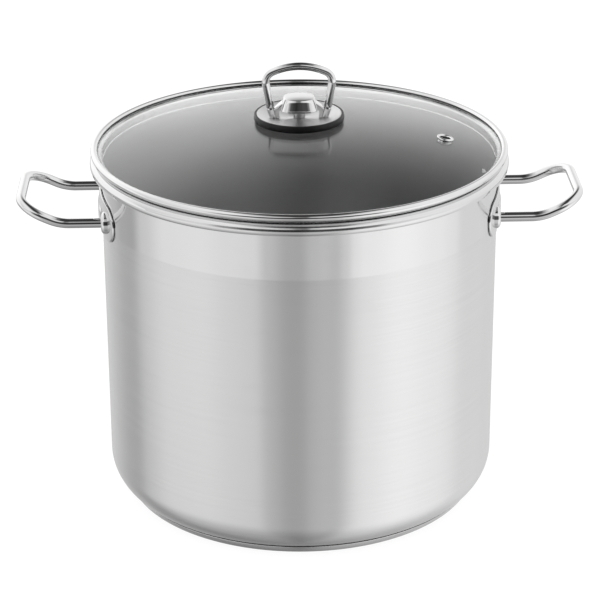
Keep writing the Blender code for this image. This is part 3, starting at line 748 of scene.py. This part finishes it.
def arm_web(side, word):
    """The upright web of one arm, tapered in plan from the boss to the foot."""
    bm = bmesh.new()
    near, far = [], []
    for x, z in ARM_SIDE:
        share = (x - ARM_ROOT_X) / (ARM_END_X - ARM_ROOT_X)
        half = (ARM_ROOT_WIDTH + (ARM_END_WIDTH - ARM_ROOT_WIDTH) * share) / 2
        near.append(bm.verts.new((side * x, -half, z)))
        far.append(bm.verts.new((side * x, half, z)))
    bm.faces.new(near)
    bm.faces.new(far)
    for i in range(len(near)):
        j = (i + 1) % len(near)
        bm.faces.new((near[i], near[j], far[j], far[i]))
    web = new_object("web_" + word, bm)
    bevel = web.modifiers.new("round", "BEVEL")
    bevel.width, bevel.segments, bevel.limit_method = 0.0005, 3, "NONE"
    return apply_modifiers(web)


def bridge():
    """The casting: a flat-topped boss, two tapered arms and the feet that carry the loop."""
    top_x, top_y = BOSS_TOP_WIDTH / 2, BOSS_TOP_DEPTH / 2
    skirt_x, skirt_y = BOSS_SKIRT_WIDTH / 2, BOSS_SKIRT_DEPTH / 2
    rings = [(top_x - 0.0005, top_y - 0.0005, BOSS_TOP), (top_x - 0.0002, top_y - 0.0002, BOSS_TOP - 0.0001),
             (top_x, top_y, BOSS_TOP - 0.0003)]
    for share in (0.25, 0.5, 0.75):
        swell = 0.0004 * math.sin(math.pi * share)
        rings.append((top_x + (skirt_x - top_x) * share, top_y + (skirt_y - top_y) * share + swell - 0.0001,
                      BOSS_TOP + (BOSS_SKIRT_Z - BOSS_TOP) * share))
    rings += [
        (skirt_x, skirt_y, BOSS_SKIRT_Z + 0.0004),
        (skirt_x - 0.0001, skirt_y - 0.0001, BOSS_SKIRT_Z + 0.0001),
        (skirt_x - 0.0004, skirt_y - 0.0004, BOSS_SKIRT_Z - 0.0001),
        (BOSS_NECK_RADIUS, BOSS_NECK_RADIUS, BOSS_NECK_Z),
        (STEM_RADIUS, STEM_RADIUS, BOSS_NECK_Z - 0.0003),
        (STEM_RADIUS, STEM_RADIUS, FOOT_Z - 0.003),
    ]
    obj = lofted("cast_bridge", rings, MEDIUM)
    seam_x = loop_leg_x(LOOP_END_Z)
    for side, word in ((LEFT, "left"), (RIGHT, "right")):
        boolean(obj, "UNION", arm_web(side, word))
        lean = Vector((side * math.sin(LOOP_LEAN), 0, math.cos(LOOP_LEAN)))
        top = Vector((side * seam_x, 0, LOOP_END_Z)) - lean * 0.0002
        foot_end = Vector((side * FOOT_X, 0, FOOT_Z - 0.003))
        bend = filleted([top, top - lean * 0.0015, foot_end], [0.005], 6)
        radii = [LOOP_ROD] * len(bend)
        radii[0] -= 0.0003
        boolean(obj, "UNION", swept("foot_" + word, bend, radii, 40))
    bm = bmesh.new()
    bmesh.ops.create_cube(bm, size=0.06)
    bm.transform(Matrix.Translation((0, 0, FOOT_Z - 0.03)))
    boolean(obj, "DIFFERENCE", new_object("below", bm))
    bore = [(0, STEM_HOLE_TOP), (STEM_HOLE, STEM_HOLE_TOP), (STEM_HOLE, FOOT_Z - 0.003), (0, FOOT_Z - 0.003)]
    boolean(obj, "DIFFERENCE", turned("bore", bore, COARSE))
    smooth(obj, 32)
    give(obj, KNOB_STEEL)
    stand_in(obj, "knob_bridge", "knob")


def loop():
    crown_centre = (0, LOOP_TOP - LOOP_CROWN_RADIUS)
    corner_centre = (LOOP_CORNER_X, loop_corner_z())
    meet = math.atan2(corner_centre[1] - crown_centre[1], LOOP_CORNER_X)
    half = [(loop_leg_x(LOOP_END_Z), LOOP_END_Z)]
    lean = Vector((math.sin(LOOP_LEAN), math.cos(LOOP_LEAN)))
    half.append(tuple(Vector(half[0]) + lean * 0.0003))
    half += arc(corner_centre, LOOP_CORNER, -LOOP_LEAN, meet, 20)
    half += arc(crown_centre, LOOP_CROWN_RADIUS, meet, math.pi / 2, 12)[1:]
    path = [(x, 0, z) for x, z in half] + [(-x, 0, z) for x, z in reversed(half[:-1])]
    radii = [LOOP_ROD] * len(path)
    radii[0] = radii[-1] = LOOP_ROD - 0.0003
    obj = swept("finger_loop", path, radii, 40)
    give(obj, KNOB_STEEL)
    stand_in(obj, "knob_loop", "knob")


def fixing():
    """The screw with its washers, seen through the glass."""
    for node, body, slot, material in (
        ("silicone_washer", "lid", "silicone", soft_silicone()),
        ("steel_washer", "knob", "fastener", FASTENER_STEEL),
    ):
        low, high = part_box(node)
        outer, round_by = high.x, 0.0002
        section = [(STEM_HOLE, high.z), (outer - round_by, high.z), (outer, high.z - round_by),
                   (outer, low.z + round_by), (outer - round_by, low.z), (STEM_HOLE, low.z)]
        obj = turned(node + "_ring", section, COARSE)
        give(obj, material)
        stand_in(obj, node, body)
    low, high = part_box("knob_screw")
    head = low.z + 0.0023
    section = [(0, high.z), (0.0017, high.z), (0.0022, high.z - 0.0005), (0.0022, head), (0.0042, head)]
    section += arc((0.0022, head - 0.0003), 0.0020, 0, -math.pi / 2, 10) + [(0, low.z)]
    obj = turned("pan_head_screw", section, COARSE)
    give(obj, FASTENER_STEEL)
    stand_in(obj, "knob_screw", "knob")


# ---------------------------------------------------------------- studio


def floor():
    bm = bmesh.new()
    bmesh.ops.create_grid(bm, x_segments=8, y_segments=8, size=6.0)
    obj = new_object("floor", bm)
    s = Shader("pale_floor")
    s.set(Roughness=0.9, Specular_IOR_Level=0.1, Emission_Color=(1, 1, 1, 1), Emission_Strength=0.92)
    s.into(s.tint(s.noise(3.0, 3.0), grey(0.10), grey(0.12)), "Base Color")
    give(obj, s.material)
    obj.visible_glossy = False
    obj.visible_shadow = False


def ramp(tree, stops):
    """A colour ramp of greys from (position, level) stops."""
    node = tree.nodes.new("ShaderNodeValToRGB")
    node.color_ramp.interpolation = "EASE"
    elements = node.color_ramp.elements
    while len(elements) > 1:
        elements.remove(elements[0])
    elements[0].position = stops[0][0]
    elements[0].color = (*(stops[0][1],) * 3, 1)
    for position, level in stops[1:]:
        elements.new(position).color = (*(level,) * 3, 1)
    return node


def round_the_studio(degrees):
    """Where an azimuth falls on the ramp: 0 is the side that the camera is on, and 90 is the pot's right."""
    return 0.5 + degrees / 360


def halved(stops):
    """Stops over the sideways part of a direction, -1 to 1, as positions on a ramp."""
    return [(0.5 + 0.5 * across, level) for across, level in stops]


def studio():
    """Soft boxes and dark flags all round, as a world that reflections see. Sight of it is plain white."""
    world = bpy.data.worlds.new("studio")
    bpy.context.scene.world = world
    world.use_nodes = True
    tree = world.node_tree
    tree.nodes.clear()

    def maths(operation, a, b=None):
        node = tree.nodes.new("ShaderNodeMath")
        node.operation = operation
        for socket, value in zip(node.inputs, (a, b)):
            if isinstance(value, (int, float)):
                socket.default_value = value
            elif value is not None:
                tree.links.new(value, socket)
        return node.outputs["Value"]

    def mix(factor, a, b, kind="MIX"):
        node = tree.nodes.new("ShaderNodeMix")
        node.data_type, node.blend_type = "RGBA", kind
        if factor is None:
            node.inputs["Factor"].default_value = 1.0
        else:
            tree.links.new(factor, node.inputs["Factor"])
        tree.links.new(a, node.inputs["A"])
        tree.links.new(b, node.inputs["B"])
        return node.outputs["Result"]

    def step(value, low, high):
        node = tree.nodes.new("ShaderNodeMapRange")
        node.interpolation_type = "SMOOTHSTEP"
        node.inputs["From Min"].default_value, node.inputs["From Max"].default_value = low, high
        tree.links.new(value, node.inputs["Value"])
        return node.outputs["Result"]

    def lights(position, stops):
        node = ramp(tree, stops)
        tree.links.new(position, node.inputs["Fac"])
        return node.outputs["Color"]

    place = tree.nodes.new("ShaderNodeTexCoord")
    split = tree.nodes.new("ShaderNodeSeparateXYZ")
    tree.links.new(place.outputs["Generated"], split.inputs["Vector"])
    x, y, z = split.outputs
    front = maths("MULTIPLY", y, -1)
    azimuth = maths("ADD", maths("DIVIDE", maths("ARCTAN2", x, front), 2 * math.pi), 0.5)
    across = maths("ADD", maths("MULTIPLY", x, 0.5), 0.5)
    height = maths("ADD", maths("MULTIPLY", z, 0.5), 0.5)
    from_zenith = maths("MULTIPLY", maths("ARCTAN2", front, z), 180 / math.pi)
    level = lights(across, halved(REAR_LIGHTS))
    slant = tree.nodes.new("ShaderNodeMapRange")
    slant.inputs["From Min"].default_value, slant.inputs["From Max"].default_value = SLANT_REACH
    slant.inputs["To Min"].default_value, slant.inputs["To Max"].default_value = REAR_SLANT
    tree.links.new(x, slant.inputs["Value"])
    slanted = maths("ADD", from_zenith, slant.outputs["Result"])
    level = mix(step(slanted, *REAR_EDGE), level, lights(across, halved(TOP_LIGHTS)))
    level = mix(step(from_zenith, *STRIP_EDGE), level, lights(across, halved(STRIP_LIGHTS)))
    level = mix(step(from_zenith, *FRONT_EDGE), level, lights(across, halved(FRONT_LIGHTS)))
    low = lights(azimuth, [(round_the_studio(a), amount) for a, amount in SIDE_LIGHTS])
    fall = [(0.5 + 0.5 * math.sin(math.radians(elevation)), share) for elevation, share in LOW_LIGHTS]
    falloff = lights(maths("ADD", height, maths("MULTIPLY", x, LOW_SLANT)), fall)
    level = mix(step(z, *HORIZON_EDGE), mix(None, low, falloff, "MULTIPLY"), level)
    reflected = tree.nodes.new("ShaderNodeBackground")
    tree.links.new(level, reflected.inputs["Color"])
    reflected.inputs["Strength"].default_value = LIGHT_SCALE
    seen = tree.nodes.new("ShaderNodeBackground")
    seen.inputs["Color"].default_value = (0.97, 0.97, 0.97, 1)
    choose = tree.nodes.new("ShaderNodeMixShader")
    ray = tree.nodes.new("ShaderNodeLightPath")
    tree.links.new(ray.outputs["Is Camera Ray"], choose.inputs["Fac"])
    tree.links.new(reflected.outputs["Background"], choose.inputs[1])
    tree.links.new(seen.outputs["Background"], choose.inputs[2])
    output = tree.nodes.new("ShaderNodeOutputWorld")
    tree.links.new(choose.outputs["Shader"], output.inputs["Surface"])


def overhead_light():
    """A wide soft box that lights the floor evenly and stays out of the reflections."""
    light = bpy.data.lights.new("overhead", "AREA")
    light.shape, light.size, light.energy = "DISK", 5.0, OVERHEAD_POWER
    obj = bpy.data.objects.new("overhead", light)
    obj.location = (0, 0, 3.0)
    obj.visible_glossy = False
    obj.visible_transmission = False
    obj.visible_camera = False
    bpy.context.scene.collection.objects.link(obj)


def camera():
    """Opposite the pot, a little to its left, looking down, with the lens and roll of the photograph."""
    data = bpy.data.cameras.new("camera")
    data.lens, data.sensor_width = CAMERA_LENS, CAMERA_SENSOR
    data.clip_start, data.clip_end = CAMERA_NEAR, CAMERA_FAR
    obj = bpy.data.objects.new("camera", data)
    turn = Matrix.Rotation(CAMERA_TURN, 4, "Z")
    tilt = Matrix.Rotation(math.pi / 2 - CAMERA_DOWN, 4, "X")
    roll = Matrix.Rotation(CAMERA_ROLL, 4, "Z")
    obj.matrix_world = turn @ Matrix.Translation((0, -CAMERA_BACK, CAMERA_UP)) @ tilt @ roll
    bpy.context.scene.collection.objects.link(obj)
    bpy.context.scene.camera = obj


ROD_STEEL = polished_steel("rod_steel")
PLATE_STEEL = polished_steel("plate_steel", 0.70, 0.12)
BAND_STEEL = polished_steel("band_steel")
KNOB_STEEL = polished_steel("knob_steel")
FASTENER_STEEL = plain_steel("fastener_steel", 0.60, 0.30)

shell()
cap()
give(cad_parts["base_core"], plain_steel("core_aluminium", 0.78, 0.40))
for hand, side in (("left", LEFT), ("right", RIGHT)):
    side_handle(hand, side)
    handle_plate(hand, side)
    for word, end in (("front", -1), ("rear", 1)):
        leg_collar(hand, side, word, end)
dome_glass()
band()
eyelet()
gasket()
disc()
bridge()
loop()
fixing()
floor()
studio()
overhead_light()
camera()
bpy.context.scene.view_settings.view_transform = "Standard"
